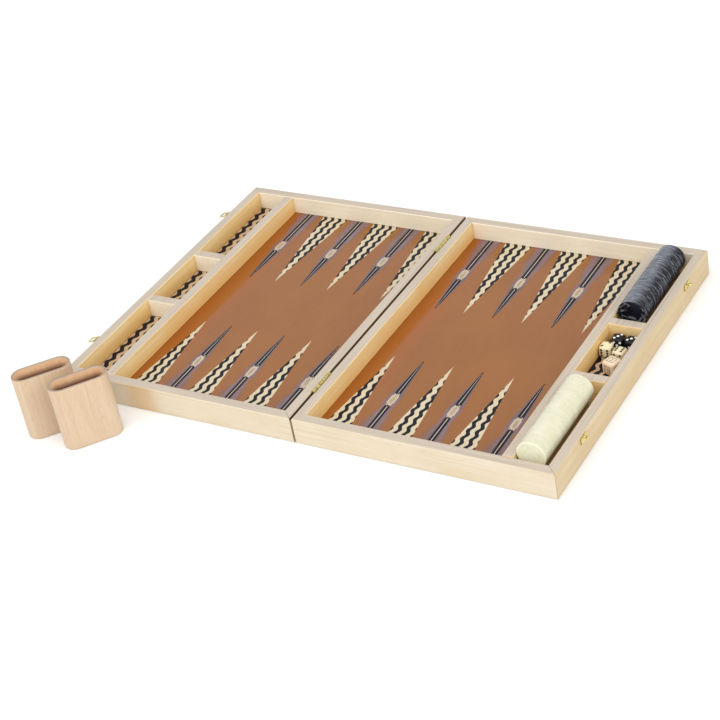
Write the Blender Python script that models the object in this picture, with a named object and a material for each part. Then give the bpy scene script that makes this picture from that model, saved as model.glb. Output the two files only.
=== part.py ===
"""Folding backgammon case with its checkers, dice and dice cups.

Metres, +Z up. The origin is the centre of the base half's underside. The lid half lies open on
the -X side, so both playing fields face up; the fold line runs along Y between the halves.
"""

import math

import bmesh
import bpy
from mathutils import Matrix, Vector

# ---------------------------------------------------------------- driving dimensions
TRAY_WIDTH = 0.300  # one half, along X
TRAY_DEPTH = 0.414  # along Y
TRAY_HEIGHT = 0.031
WALL = 0.012  # thickness of the four walls of a half
FLOOR_TOP = 0.009  # height of the playing field above the table
WALL_FOOT = 0.006  # the wall below its lip, which reaches over the floor panel
PARTITION = 0.0118  # thickness of the rack's rail and dividers
RACK_WIDTH = 0.0387  # clear width of the compartments
LONG_RACK = 0.1391  # clear length of each checker compartment
BED_TOP = 0.0154  # the raised beds under the two rows of checkers in the base
HALF_SPACING = 0.002  # space between the two halves when they lie open
CLEARANCE = 0.0003  # between pieces that touch on the real object

EDGE_ROUND = 0.0014  # outer edges of the rim
INNER_ROUND = 0.0009  # inner edges of the rim and the partition
FOOT_ROUND = 0.0008
ROUND_STEPS = 3

FOLD_X = -(TRAY_WIDTH + HALF_SPACING) / 2
FOLD_Z = TRAY_HEIGHT + 0.00025  # leaves the closed rims half a millimetre apart

# hinges, let into the facing walls
HINGE_Y = 0.1420
HINGE_LENGTH = 0.036
HINGE_BARREL = 0.0022  # radius
HINGE_SLOTS = 5  # knuckles and gaps along the hinge
LEAF_FACE = HALF_SPACING / 2  # the leaf's face, level with its wall
LEAF_THICKNESS = 0.0011
LEAF_DROP = 0.0125  # from the axis to the leaf's lower edge
PIN_RADIUS = 0.0010
BORE_RADIUS = 0.0013

# hasp latches on the outer walls
HASP_Y = 0.1405
HASP_WIDTH = 0.010
HASP_SLOTS = 3
HASP_BARREL = 0.0012
HASP_REACH = 0.0018  # from the wall's face out to the tongue's axis
HASP_DROP = 0.0020  # from the rim down to the tongue's axis
HASP_PIN = 0.0005
HASP_BORE = 0.0007
HASP_SHEET = 0.0008
HASP_PLATE_DROP = 0.0085
TONGUE_LENGTH = 0.0096
TONGUE_DIP = 15.0  # degrees below level, as it rests with the case open
KNOB_DISTANCE = 0.0054  # from the tongue's axis to the knob when latched
KNOB_RADIUS = 0.0014
KNOB_HEAD = 0.0021
KNOB_HEIGHT = 0.0060
LOOP_RADIUS = 0.0032
KEEPER_WIDTH = 0.0130
KEEPER_HEIGHT = 0.0078
KEEPER_DROP = 0.0018  # from the knob down to the middle of its plate

# playing pieces
CHECKER_COUNT = 15
CHECKER_RADIUS = 0.0162
CHECKER_THICKNESS = 0.0075
CHECKER_CHAMFER = 0.0009
CHECKER_SIDES = 24
DIE_SIZE = 0.0140
CUBE_SIZE = 0.0160
DIE_ROUND = 0.16  # share of the die's side

CUP_LENGTH = 0.066
CUP_WIDTH = 0.027
CUP_HEIGHT = 0.078
CUP_WALL = 0.0034
CUP_BASE = 0.006
CUP_ROUND = 0.0009
CUP_END_STEPS = 10

# each row of checkers: x of its middle, y of its first checker's front face
CHECKER_ROWS = {
    "dark": (0.1176, 0.0652),
    "light": (0.1160, -0.1875),
}

# the cups and the dice as they lie: x, y and turn about Z in degrees
CUPS = {
    "dice_cup_back": (-0.4264, -0.2619, 49.0),
    "dice_cup_front": (-0.3744, -0.2649, 50.5),
}
DICE = {
    "die_black_left": (0.1137, 0.0350, 8.0),
    "die_black_right": (0.1291, 0.0346, -4.0),
    "die_cream_left": (0.1072, 0.0178, 3.0),
    "die_cream_right": (0.1244, 0.0134, -5.0),
}
DOUBLING_CUBE = (0.1252, -0.0095, -20.0)

COLOURS = {
    "birch": ((0.79, 0.62, 0.40), 0.35, 0.0),
    "field": ((0.44, 0.14, 0.02), 0.30, 0.0),
    "beech": ((0.72, 0.50, 0.31), 0.40, 0.0),
    "brass": ((0.70, 0.52, 0.18), 0.25, 1.0),
    "dark_pearl": ((0.03, 0.035, 0.05), 0.20, 0.0),
    "light_pearl": ((0.84, 0.81, 0.58), 0.25, 0.0),
    "black_die": ((0.01, 0.01, 0.012), 0.20, 0.0),
    "cream_die": ((0.78, 0.72, 0.48), 0.25, 0.0),
    "cube_plastic": ((0.76, 0.55, 0.40), 0.30, 0.0),
}


# ---------------------------------------------------------------- helpers
def clear_scene():
    for old in list(bpy.data.objects):
        bpy.data.objects.remove(old, do_unlink=True)


def material_for(name, look):
    colour, roughness, metallic = COLOURS[look]
    material = bpy.data.materials.new(name)
    material.use_nodes = True
    shader = material.node_tree.nodes["Principled BSDF"]
    shader.inputs["Base Color"].default_value = (*colour, 1.0)
    shader.inputs["Roughness"].default_value = roughness
    shader.inputs["Metallic"].default_value = metallic
    material.diffuse_color = (*colour, 1.0)
    return material


def add_object(name, mesh, look, location=(0, 0, 0), turn=0.0, parent=None):
    piece = bpy.data.objects.new(name, mesh)
    bpy.context.collection.objects.link(piece)
    piece.location = location
    piece.rotation_euler.z = turn
    mesh.materials.append(material_for(name, look))
    if parent is not None:
        piece.parent = parent
        piece.location = Vector(location) - parent.location
    return piece


def add_helper(name, mesh, location=(0, 0, 0)):
    """An object that only cuts or joins another one."""
    helper = bpy.data.objects.new(name, mesh)
    bpy.context.collection.objects.link(helper)
    helper.location = location
    helper.hide_render = True
    helper.display_type = "WIRE"
    return helper


def boolean(piece, helper, operation):
    modifier = piece.modifiers.new(f"{operation.lower()}_{helper.name}", "BOOLEAN")
    modifier.object = helper
    modifier.operation = operation
    modifier.solver = "EXACT"


def axis_empty(name, location):
    """Marks a joint's axis; the pieces that turn about it are its children."""
    marker = bpy.data.objects.new(name, None)
    bpy.context.collection.objects.link(marker)
    marker.location = location
    return marker


def finish_mesh(name, form):
    bmesh.ops.recalc_face_normals(form, faces=form.faces)
    mesh = bpy.data.meshes.new(name)
    form.to_mesh(mesh)
    form.free()
    return mesh


def shade_round(mesh, angle=35):
    mesh.shade_smooth()
    mesh.set_sharp_from_angle(angle=math.radians(angle))


def arc(centre, radius, start, end, steps):
    """Points on an arc in a plane, angles in degrees."""
    angles = [math.radians(start + (end - start) * i / steps) for i in range(steps + 1)]
    return [(centre[0] + radius * math.cos(a), centre[1] + radius * math.sin(a)) for a in angles]


def join_rings(form, first, second):
    """Quads between two closed rings with the same number of points."""
    count = len(first)
    for i in range(count):
        j = (i + 1) % count
        form.faces.new((first[i], first[j], second[j], second[i]))


def box_mesh(name, low, high):
    form = bmesh.new()
    size = Vector(high) - Vector(low)
    centre = (Vector(high) + Vector(low)) / 2
    place = Matrix.Translation(centre) @ Matrix.Diagonal((*size, 1.0))
    bmesh.ops.create_cube(form, size=1.0, matrix=place)
    return finish_mesh(name, form)


def turned_mesh(name, profile, sides):
    """A solid turned about Z from (radius, height) points, closed by flat ends."""
    form = bmesh.new()
    rings = []
    for radius, height in profile:
        angles = [2 * math.pi * i / sides for i in range(sides)]
        rings.append([form.verts.new((radius * math.cos(a), radius * math.sin(a), height)) for a in angles])
    for lower, upper in zip(rings, rings[1:]):
        join_rings(form, lower, upper)
    form.faces.new(rings[0])
    form.faces.new(rings[-1])
    return finish_mesh(name, form)


# ---------------------------------------------------------------- the case
def wall_profile():
    """A wall's cross-section: (inward from the outer face, height), with the lip over the floor."""
    lip = FLOOR_TOP + CLEARANCE
    top = TRAY_HEIGHT
    points = arc((FOOT_ROUND, FOOT_ROUND), FOOT_ROUND, 270, 180, ROUND_STEPS)
    points += arc((EDGE_ROUND, top - EDGE_ROUND), EDGE_ROUND, 180, 90, ROUND_STEPS)
    points += arc((WALL - INNER_ROUND, top - INNER_ROUND), INNER_ROUND, 90, 0, ROUND_STEPS)
    points += [(WALL, lip), (WALL_FOOT, lip), (WALL_FOOT, 0.0)]
    return points


def wall_mesh(name, corner, run, inward, length):
    """A wall from an outer corner along run, with both ends mitred at 45 degrees."""
    relief = CLEARANCE / math.sqrt(2)
    form = bmesh.new()
    ends = []
    for sign, origin in ((1, 0.0), (-1, length)):
        ring = []
        for depth, height in wall_profile():
            along = origin + sign * (depth + relief)
            ring.append(form.verts.new(corner + run * along + inward * depth + Vector((0, 0, height))))
        ends.append(ring)
    join_rings(form, ends[0], ends[1])
    for ring in ends:
        form.faces.new(ring)
    return finish_mesh(name, form)


def make_walls(half, centre_x, outward, parent):
    """The four walls of a half; outward is +1 or -1, the way its rack side faces."""
    hinge_x = centre_x - outward * TRAY_WIDTH / 2
    outer_x = centre_x + outward * TRAY_WIDTH / 2
    front, back = -TRAY_DEPTH / 2, TRAY_DEPTH / 2
    along_x = Vector((outward, 0, 0))
    along_y = Vector((0, 1, 0))
    plan = {
        "front_wall": (Vector((hinge_x, front, 0)), along_x, along_y, TRAY_WIDTH),
        "back_wall": (Vector((hinge_x, back, 0)), along_x, -along_y, TRAY_WIDTH),
        "outer_wall": (Vector((outer_x, front, 0)), along_y, -along_x, TRAY_DEPTH),
        "hinge_wall": (Vector((hinge_x, front, 0)), along_y, along_x, TRAY_DEPTH),
    }
    made = {}
    for part, (corner, run, inward, length) in plan.items():
        name = f"{half}_{part}"
        offset = parent.location if parent else Vector((0, 0, 0))
        mesh = wall_mesh(name, corner - offset, run, inward, length)
        shade_round(mesh)
        made[part] = add_object(name, mesh, "birch", location=offset, parent=parent)
    return made


def cut_hinge_mortises(wall, half, outward):
    """Pockets in a hinge wall for the leaves and for the barrels beside them."""
    depth = LEAF_FACE + LEAF_THICKNESS + CLEARANCE
    reach = HINGE_LENGTH / 2 + CLEARANCE
    for place, y in (("front", -HINGE_Y), ("back", HINGE_Y)):
        inner = FOLD_X + outward * depth
        outer = FOLD_X
        low = (min(inner, outer), y - reach, FOLD_Z - LEAF_DROP - CLEARANCE)
        high = (max(inner, outer), y + reach, FOLD_Z + HINGE_BARREL)
        cutter = add_helper(f"{half}_mortise_{place}", box_mesh(f"{half}_mortise", low, high))
        boolean(wall, cutter, "DIFFERENCE")


def make_floor(half, centre_x, parent):
    """The panel that carries the playing field, held under the walls' lips."""
    inset = WALL_FOOT + CLEARANCE
    offset = parent.location if parent else Vector((0, 0, 0))
    half_x = TRAY_WIDTH / 2 - inset
    half_y = TRAY_DEPTH / 2 - inset
    low = Vector((centre_x - half_x, -half_y, 0)) - offset
    high = Vector((centre_x + half_x, half_y, FLOOR_TOP)) - offset
    mesh = box_mesh(f"{half}_floor_panel", low, high)
    add_object(f"{half}_floor_panel", mesh, "field", location=offset, parent=parent)


def make_partition(half, centre_x, outward, parent):
    """The rack's rail with its two dividers, glued up as one E-shaped piece."""
    offset = parent.location if parent else Vector((0, 0, 0))
    outer = TRAY_WIDTH / 2 - WALL - CLEARANCE
    rail_out = TRAY_WIDTH / 2 - WALL - RACK_WIDTH
    rail_in = rail_out - PARTITION
    end = TRAY_DEPTH / 2 - WALL - CLEARANCE
    divider_far = TRAY_DEPTH / 2 - WALL - LONG_RACK
    divider_near = divider_far - PARTITION
    outline = [
        (rail_in, -end),
        (rail_out, -end),
        (rail_out, -divider_far),
        (outer, -divider_far),
        (outer, -divider_near),
        (rail_out, -divider_near),
        (rail_out, divider_near),
        (outer, divider_near),
        (outer, divider_far),
        (rail_out, divider_far),
        (rail_out, end),
        (rail_in, end),
    ]
    form = bmesh.new()
    bottom = FLOOR_TOP + CLEARANCE
    rings = []
    for height in (bottom, TRAY_HEIGHT):
        place = [Vector((centre_x + outward * x, y, height)) - offset for x, y in outline]
        rings.append([form.verts.new(point) for point in place])
    join_rings(form, rings[0], rings[1])
    form.faces.new(rings[0])
    top = form.faces.new(rings[1])
    bmesh.ops.recalc_face_normals(form, faces=form.faces)
    bmesh.ops.bevel(
        form, geom=list(top.edges), offset=INNER_ROUND, segments=2, affect="EDGES", profile=0.5
    )
    mesh = finish_mesh(f"{half}_rack_partition", form)
    shade_round(mesh)
    return add_object(f"{half}_rack_partition", mesh, "birch", location=offset, parent=parent)


def add_checker_beds(partition):
    """Thick floors in the two long compartments, glued up with the rail and the dividers."""
    overlap = 0.001
    rail_out = TRAY_WIDTH / 2 - WALL - RACK_WIDTH
    outer = TRAY_WIDTH / 2 - WALL - CLEARANCE
    end = TRAY_DEPTH / 2 - WALL - CLEARANCE
    start = TRAY_DEPTH / 2 - WALL - LONG_RACK
    for place, side in (("front", -1), ("back", 1)):
        near, far = sorted((side * (start - overlap), side * end))
        low = (rail_out - overlap, near, FLOOR_TOP + CLEARANCE)
        high = (outer, far, BED_TOP)
        boolean(partition, add_helper(f"checker_bed_{place}", box_mesh("checker_bed", low, high)), "UNION")


# ---------------------------------------------------------------- hinges and hasps
class Leaf:
    """Sizes of a sheet-metal leaf whose knuckles are rolled round an axis along Y.

    Across the leaf, 'a' runs from the axis towards the leaf's outer face and 'b' up along it.
    """

    def __init__(self, width, slots, barrel, inner, outer, top, bottom):
        self.width = width
        self.slots = slots
        self.barrel = barrel
        self.inner = inner
        self.outer = outer
        self.top = top
        self.bottom = bottom

    def knuckle_spans(self, wanted):
        slot = self.width / self.slots
        spans = []
        for index in wanted:
            low = -self.width / 2 + index * slot
            high = low + slot
            low += CLEARANCE / 2 if index > 0 else 0.0
            high -= CLEARANCE / 2 if index < self.slots - 1 else 0.0
            spans.append((round(low, 6), round(high, 6)))
        return spans

    def knuckle_outline(self, steps=12):
        """From the sheet's inner edge round the barrel to its outer edge."""
        radius = self.barrel
        start = -math.degrees(math.acos(max(-1.0, self.inner / radius)))
        last = -math.degrees(math.acos(min(1.0, self.outer / radius)))
        points = [(self.inner, self.top)]
        points += arc((0, 0), radius, start, last - 360, steps)
        if self.outer > radius:
            points.append((self.outer, radius - self.outer))
        points.append((self.outer, self.top))
        return points


def knuckled_leaf_mesh(name, leaf, wanted, core, has_pin, a_way, b_way):
    """A leaf as one solid: a sheet, its knuckles and either a pin through them or a bore."""
    form = bmesh.new()
    y_way = Vector((0, 1, 0))

    def point(a, b, y):
        return form.verts.new(a_way * a + b_way * b + y_way * y)

    spans = leaf.knuckle_spans(wanted)
    edges = {-leaf.width / 2, leaf.width / 2}
    stations = sorted(edges.union(*spans))
    sheet = {}
    for y in stations:
        corners = ((leaf.inner, leaf.top), (leaf.inner, leaf.bottom), (leaf.outer, leaf.bottom), (leaf.outer, leaf.top))
        sheet[y] = [point(a, b, y) for a, b in corners]
    for low, high in zip(stations, stations[1:]):
        first, second = sheet[low], sheet[high]
        for i in range(3):
            form.faces.new((first[i], first[i + 1], second[i + 1], second[i]))
        if (low, high) not in spans:
            form.faces.new((first[3], first[0], second[0], second[3]))
    form.faces.new(sheet[stations[0]])
    form.faces.new(sheet[stations[-1]])

    outline = leaf.knuckle_outline()
    core_ring = []
    for a, b in outline:
        scale = core / math.hypot(a, b)
        core_ring.append((a * scale, b * scale))
    previous_core = None
    for low, high in spans:
        rims, cores = [], []
        for y in (low, high):
            middle = [point(a, b, y) for a, b in outline[1:-1]]
            rims.append([sheet[y][0], *middle, sheet[y][3]])
        for i in range(len(outline) - 1):
            form.faces.new((rims[0][i], rims[0][i + 1], rims[1][i + 1], rims[1][i]))
        for y, rim in ((low, rims[0]), (high, rims[1])):
            at_end = y in (stations[0], stations[-1])
            if has_pin and at_end:
                form.faces.new(rim)
                cores.append(None)
            else:
                ring = [point(a, b, y) for a, b in core_ring]
                join_rings(form, rim, ring)
                cores.append(ring)
        if has_pin:
            if previous_core:
                join_rings(form, previous_core, cores[0])
            previous_core = cores[1]
        else:
            join_rings(form, cores[0], cores[1])
    return finish_mesh(name, form)


def hinge_leaf_shape():
    turning_room = HINGE_BARREL + CLEARANCE
    top = -math.sqrt(turning_room**2 - LEAF_FACE**2) - CLEARANCE / 2
    return Leaf(
        width=HINGE_LENGTH,
        slots=HINGE_SLOTS,
        barrel=HINGE_BARREL,
        inner=LEAF_FACE,
        outer=LEAF_FACE + LEAF_THICKNESS,
        top=top,
        bottom=-LEAF_DROP,
    )


def make_hinges(fold_axis):
    """Two butt hinges: the base leaf holds the pin, the lid leaf turns on it."""
    shape = hinge_leaf_shape()
    up = Vector((0, 0, 1))
    for place, y in (("front", -HINGE_Y), ("back", HINGE_Y)):
        where = Vector((FOLD_X, y, FOLD_Z))
        base_name = f"hinge_{place}_base_leaf"
        mesh = knuckled_leaf_mesh(base_name, shape, (0, 2, 4), PIN_RADIUS, True, Vector((1, 0, 0)), up)
        shade_round(mesh)
        add_object(base_name, mesh, "brass", location=where)
        lid_name = f"hinge_{place}_lid_leaf"
        mesh = knuckled_leaf_mesh(lid_name, shape, (1, 3), BORE_RADIUS, False, Vector((-1, 0, 0)), up)
        shade_round(mesh)
        add_object(lid_name, mesh, "brass", location=where, parent=fold_axis)


def make_hasp(place, y, fold_axis):
    """A fixed plate on the lid's outer wall and a looped tongue that hangs on it."""
    axis = Vector((2 * FOLD_X - TRAY_WIDTH / 2 - HASP_REACH, y, TRAY_HEIGHT - HASP_DROP))
    towards_wall = Vector((1, 0, 0))
    up = Vector((0, 0, 1))
    sheet_outer = HASP_REACH - CLEARANCE
    plate = Leaf(
        width=HASP_WIDTH,
        slots=HASP_SLOTS,
        barrel=HASP_BARREL,
        inner=sheet_outer - HASP_SHEET,
        outer=sheet_outer,
        top=-HASP_BARREL - CLEARANCE,
        bottom=-HASP_PLATE_DROP,
    )
    plate_name = f"hasp_{place}_plate"
    mesh = knuckled_leaf_mesh(plate_name, plate, (0, 2), HASP_PIN, True, towards_wall, up)
    shade_round(mesh)
    add_object(plate_name, mesh, "brass", location=axis, parent=fold_axis)

    tongue = Leaf(
        width=HASP_WIDTH,
        slots=HASP_SLOTS,
        barrel=HASP_BARREL,
        inner=-HASP_SHEET / 2,
        outer=HASP_SHEET / 2,
        top=-HASP_BARREL - 2 * CLEARANCE,
        bottom=-TONGUE_LENGTH,
    )
    swing = axis_empty(f"hasp_{place}_axis", axis)
    tongue_name = f"hasp_{place}_tongue"
    dip = Matrix.Rotation(math.radians(-TONGUE_DIP), 4, "Y")
    along = dip @ towards_wall
    mesh = knuckled_leaf_mesh(tongue_name, tongue, (1,), HASP_BORE, False, dip @ up, along)
    shade_round(mesh)
    piece = add_object(tongue_name, mesh, "brass", location=axis, parent=swing)
    loop = turned_mesh("loop", [(LOOP_RADIUS, -HASP_BARREL), (LOOP_RADIUS, HASP_BARREL)], 12)
    loop.transform(dip)
    where = axis - along * KNOB_DISTANCE
    boolean(piece, add_helper(f"hasp_{place}_loop", loop, where), "DIFFERENCE")


def make_keeper(place, y):
    """The plate on the base's outer wall whose knob catches the tongue's loop."""
    wall_x = TRAY_WIDTH / 2 + CLEARANCE
    # closed, the tongue's axis stands as far above the fold line as it lies below it when open
    axis_z = 2 * FOLD_Z - (TRAY_HEIGHT - HASP_DROP)
    knob_z = axis_z - KNOB_DISTANCE
    low = (0, -KEEPER_WIDTH / 2, -KEEPER_HEIGHT / 2)
    high = (HASP_SHEET, KEEPER_WIDTH / 2, KEEPER_HEIGHT / 2)
    name = f"hasp_{place}_keeper"
    where = Vector((wall_x, y, knob_z))
    keeper = add_object(name, box_mesh(name, low, high), "brass", location=where - Vector((0, 0, KEEPER_DROP)))
    head_start = KNOB_HEIGHT * 0.7
    profile = [
        (KNOB_RADIUS, HASP_SHEET / 2),
        (KNOB_RADIUS, head_start),
        (KNOB_HEAD, head_start + 0.0004),
        (KNOB_RADIUS, KNOB_HEIGHT),
    ]
    knob = turned_mesh("knob", profile, 12)
    knob.transform(Matrix.Rotation(math.radians(90), 4, "Y"))
    boolean(keeper, add_helper(f"hasp_{place}_knob", knob, where), "UNION")


# ---------------------------------------------------------------- playing pieces
def make_checkers():
    """Two rows of checkers on edge, numbered from the front of each row."""
    radius, thickness, chamfer = CHECKER_RADIUS, CHECKER_THICKNESS, CHECKER_CHAMFER
    profile = [
        (radius - chamfer, -thickness / 2),
        (radius, -thickness / 2 + chamfer),
        (radius, thickness / 2 - chamfer),
        (radius - chamfer, thickness / 2),
    ]
    rest_z = BED_TOP + CLEARANCE + radius
    pitch = thickness + CLEARANCE
    for colour, (x, first_face) in CHECKER_ROWS.items():
        mesh = turned_mesh(f"{colour}_checker", profile, CHECKER_SIDES)
        mesh.transform(Matrix.Rotation(math.radians(90), 4, "X"))
        shade_round(mesh)
        for number in range(CHECKER_COUNT):
            y = first_face + thickness / 2 + pitch * number
            name = f"checker_{colour}_{number + 1:02d}"
            add_object(name, mesh.copy(), f"{colour}_pearl", location=(x, y, rest_z))


def make_die(name, size, look, place):
    x, y, turn = place
    form = bmesh.new()
    bmesh.ops.create_cube(form, size=size)
    bmesh.ops.bevel(
        form, geom=list(form.edges), offset=size * DIE_ROUND, segments=2, affect="EDGES", profile=0.5
    )
    mesh = finish_mesh(name, form)
    shade_round(mesh, 50)
    height = FLOOR_TOP + CLEARANCE + size / 2
    add_object(name, mesh, look, location=(x, y, height), turn=math.radians(turn))


def make_dice():
    for name, place in DICE.items():
        make_die(name, DIE_SIZE, "black_die" if "black" in name else "cream_die", place)
    make_die("doubling_cube", CUBE_SIZE, "cube_plastic", DOUBLING_CUBE)


def flat_oval(inset, height):
    """The cup's outline at a height: two straight sides joined by half circles."""
    radius = CUP_WIDTH / 2 - inset
    straight = (CUP_LENGTH - CUP_WIDTH) / 2
    points = arc((straight, 0), radius, -90, 90, CUP_END_STEPS)
    points += arc((-straight, 0), radius, 90, 270, CUP_END_STEPS)
    return [(x, y, height) for x, y in points]


def make_cups():
    loops = [
        (CUP_ROUND, 0.0),
        (0.0, CUP_ROUND),
        (0.0, CUP_HEIGHT - CUP_ROUND),
        (CUP_ROUND, CUP_HEIGHT),
        (CUP_WALL - CUP_ROUND, CUP_HEIGHT),
        (CUP_WALL, CUP_HEIGHT - CUP_ROUND),
        (CUP_WALL, CUP_BASE),
    ]
    for name, (x, y, turn) in CUPS.items():
        form = bmesh.new()
        rings = [[form.verts.new(point) for point in flat_oval(*loop)] for loop in loops]
        for lower, upper in zip(rings, rings[1:]):
            join_rings(form, lower, upper)
        form.faces.new(rings[0])
        form.faces.new(rings[-1])
        mesh = finish_mesh(name, form)
        shade_round(mesh)
        add_object(name, mesh, "beech", location=(x, y, 0), turn=math.radians(turn))


def main():
    clear_scene()
    fold_axis = axis_empty("fold_axis", (FOLD_X, 0, FOLD_Z))
    base_walls = make_walls("base", 0.0, 1, None)
    make_floor("base", 0.0, None)
    add_checker_beds(make_partition("base", 0.0, 1, None))
    lid_walls = make_walls("lid", 2 * FOLD_X, -1, fold_axis)
    make_floor("lid", 2 * FOLD_X, fold_axis)
    make_partition("lid", 2 * FOLD_X, -1, fold_axis)
    cut_hinge_mortises(base_walls["hinge_wall"], "base", 1)
    cut_hinge_mortises(lid_walls["hinge_wall"], "lid", -1)
    make_hinges(fold_axis)
    for place, y in (("front", -HASP_Y), ("back", HASP_Y)):
        make_hasp(place, y, fold_axis)
        make_keeper(place, y)
    make_checkers()
    make_dice()
    make_cups()


main()
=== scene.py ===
"""The looks of a folding backgammon set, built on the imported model's frame."""

import math
import random

import bmesh
import bpy
from mathutils import Matrix, Vector


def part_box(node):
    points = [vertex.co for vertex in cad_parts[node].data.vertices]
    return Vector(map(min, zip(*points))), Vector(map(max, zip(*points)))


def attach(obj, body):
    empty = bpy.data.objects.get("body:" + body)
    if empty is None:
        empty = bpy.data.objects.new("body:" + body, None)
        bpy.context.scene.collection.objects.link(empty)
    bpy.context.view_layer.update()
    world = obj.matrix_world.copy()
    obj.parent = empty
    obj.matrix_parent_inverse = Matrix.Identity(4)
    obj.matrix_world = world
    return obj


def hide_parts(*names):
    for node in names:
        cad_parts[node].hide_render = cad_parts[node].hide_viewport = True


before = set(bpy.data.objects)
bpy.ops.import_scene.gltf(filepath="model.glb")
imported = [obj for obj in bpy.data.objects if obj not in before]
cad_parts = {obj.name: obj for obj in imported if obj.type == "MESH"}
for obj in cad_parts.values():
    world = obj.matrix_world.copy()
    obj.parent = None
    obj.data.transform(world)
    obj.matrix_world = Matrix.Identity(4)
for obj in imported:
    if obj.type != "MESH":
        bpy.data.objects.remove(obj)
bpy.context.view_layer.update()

MM = 0.001
FIELD_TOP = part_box("base_floor_panel")[1][2]
TRAY_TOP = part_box("base_outer_wall")[1][2]
CUP_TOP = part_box("dice_cup_back")[1][2]
BASE_FIELD_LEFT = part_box("base_hinge_wall")[1][0]
LID_FIELD_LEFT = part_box("lid_rack_partition")[1][0]
LID_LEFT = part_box("lid_outer_wall")[0][0]
FOLD_X = (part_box("base_hinge_wall")[0][0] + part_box("lid_hinge_wall")[1][0]) / 2

# ---------- sizes of the pieces
RACK_CLEAR = 38.7 * MM  # clear width of the compartments
DIVIDER = 11.8 * MM
LONG_RACK = 139.1 * MM
FILL = 0.2 * MM  # the rows are pushed up tight, so each checker is this much thicker than its node
CUP_LENGTH = 66 * MM
CUP_WIDTH = 27 * MM
CUP_WALL = 3.4 * MM
CUP_BASE = 6 * MM
CUP_TURN = {"back": 49.0, "front": 50.5}
LEAF_FACE = 1.0 * MM  # from the fold line to the open face of a hinge leaf
HASP_FACE = 1.1 * MM  # from a wall to the face of a hasp's plate or keeper
HINGE_SCREW = (1.5 * MM, 0.35 * MM)  # radius and height of a head
KEEPER_PIN = (0.6 * MM, 0.35 * MM)
PLATE_PIN = (0.85 * MM, 0.3 * MM)
FLOOR_DROP = 0.4 * MM  # the studio floor lies this far below the case

# ---------- camera, from the photograph's view
CAMERA_AZIMUTH = 35.6  # degrees round from straight in front
CAMERA_ELEVATION = 34.17
CAMERA_ROLL = -11.22
CAMERA_DISTANCE = 2.072
CAMERA_LENS = 90.95  # mm
CAMERA_SENSOR = 36  # mm
CAMERA_TARGET = Vector((-0.1878, -0.0127, -0.0353))

# ---------- the printed field
POINTS = 6  # in each row of a half
POINT_PITCH = 36.0 * MM
POINT_LENGTH = 147.5 * MM
ZIGZAG_WIDTH = 34.0 * MM  # of a zigzag point at its base
BAND = 5.05 * MM  # half the spacing of the zigzag stripes
STRIPE = 4.7 * MM  # width of one dark stripe
WAVE_PERIOD = 13.8 * MM
WAVE_HEIGHT = 1.3 * MM
ROW_STRIPES = {1: (0.0, 0.3), -1: (2.2 * MM, 5.2)}  # front and back row: shift at the base, phase
STATION = 0.9 * MM  # spacing of the outline points along a stripe
THINNEST = 0.05 * MM  # a stripe ends where the outline leaves less of it
STRIPE_PLACES = (-3, -1, 1, 3)  # in bands from the middle
RACK_BAND = {"base": 5.25 * MM, "lid": 5.9 * MM}  # the coarser stripes on the floors of the racks
RACK_STRIPE = 6.2 * MM
RACK_PERIOD = 15.5 * MM
RACK_WAVE = 1.9 * MM
RACK_SHIFT = {"base": -2.2 * MM, "lid": 4.15 * MM}  # of the stripes from the middle of a rack
LOZENGE_AT = 0.51  # where the woven lozenge sits along its point
NOWHERE = 2.0  # a share past the tip, for the strands that do not narrow
LAYER = 0.02 * MM  # each printed layer lies this much above the one below
PRINT_FOOT = LAYER / 4  # the lowest layers start this far above the veneer
CREAM_TOP = 2 * LAYER
STRIPE_FOOT = 2.2 * LAYER
STRIPE_TOP = 3 * LAYER
WELD = 1e-7  # points closer together than this are joined

CREAM = (0.655, 0.570, 0.405)
INK = (0.006, 0.006, 0.010)
FIELD = (0.272, 0.086, 0.003)


# ---------- small tools
def corners_of(node):
    """The low and the high corner of a node's box."""
    low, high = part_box(node)
    return Vector(low), Vector(high)


def bearing(azimuth, elevation):
    """The way towards a place, in degrees round from straight in front and up from level."""
    around = math.radians(azimuth)
    above = math.radians(elevation)
    level = math.cos(above)
    return Vector((math.sin(around) * level, -math.cos(around) * level, math.sin(above)))


def in_scene(name, data):
    """A new object that shows the data, linked into the scene."""
    holder = bpy.data.objects.new(name, data)
    bpy.context.collection.objects.link(holder)
    return holder


def mesh_of(holder):
    """A mesh of the object as it shows, with its modifiers."""
    graph = bpy.context.evaluated_depsgraph_get()
    return bpy.data.meshes.new_from_object(holder.evaluated_get(graph))


def new_object(name, mesh, body, slot_name, *materials):
    piece = in_scene(name, mesh)
    for material in materials:
        mesh.materials.append(material)
    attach(piece, body)
    return piece


def to_mesh(name, form):
    bmesh.ops.recalc_face_normals(form, faces=form.faces)
    mesh = bpy.data.meshes.new(name)
    form.to_mesh(mesh)
    form.free()
    return mesh


def shade_round(mesh, angle=32):
    mesh.shade_smooth()
    mesh.set_sharp_from_angle(angle=math.radians(angle))


def join_rings(form, first, second, material=0):
    count = len(first)
    for i in range(count):
        j = (i + 1) % count
        face = form.faces.new((first[i], first[j], second[j], second[i]))
        face.material_index = material


def turned(name, profile, sides):
    """A solid turned about Z from (radius, height) points, closed at both ends."""
    form = bmesh.new()
    angles = [2 * math.pi * i / sides for i in range(sides)]
    rings = []
    for radius, height in profile:
        places = [(radius * math.cos(a), radius * math.sin(a), height) for a in angles]
        rings.append([form.verts.new(place) for place in places])
    for lower, upper in zip(rings, rings[1:]):
        join_rings(form, lower, upper)
    form.faces.new(rings[0])
    form.faces.new(rings[-1])
    return to_mesh(name, form)


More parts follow.
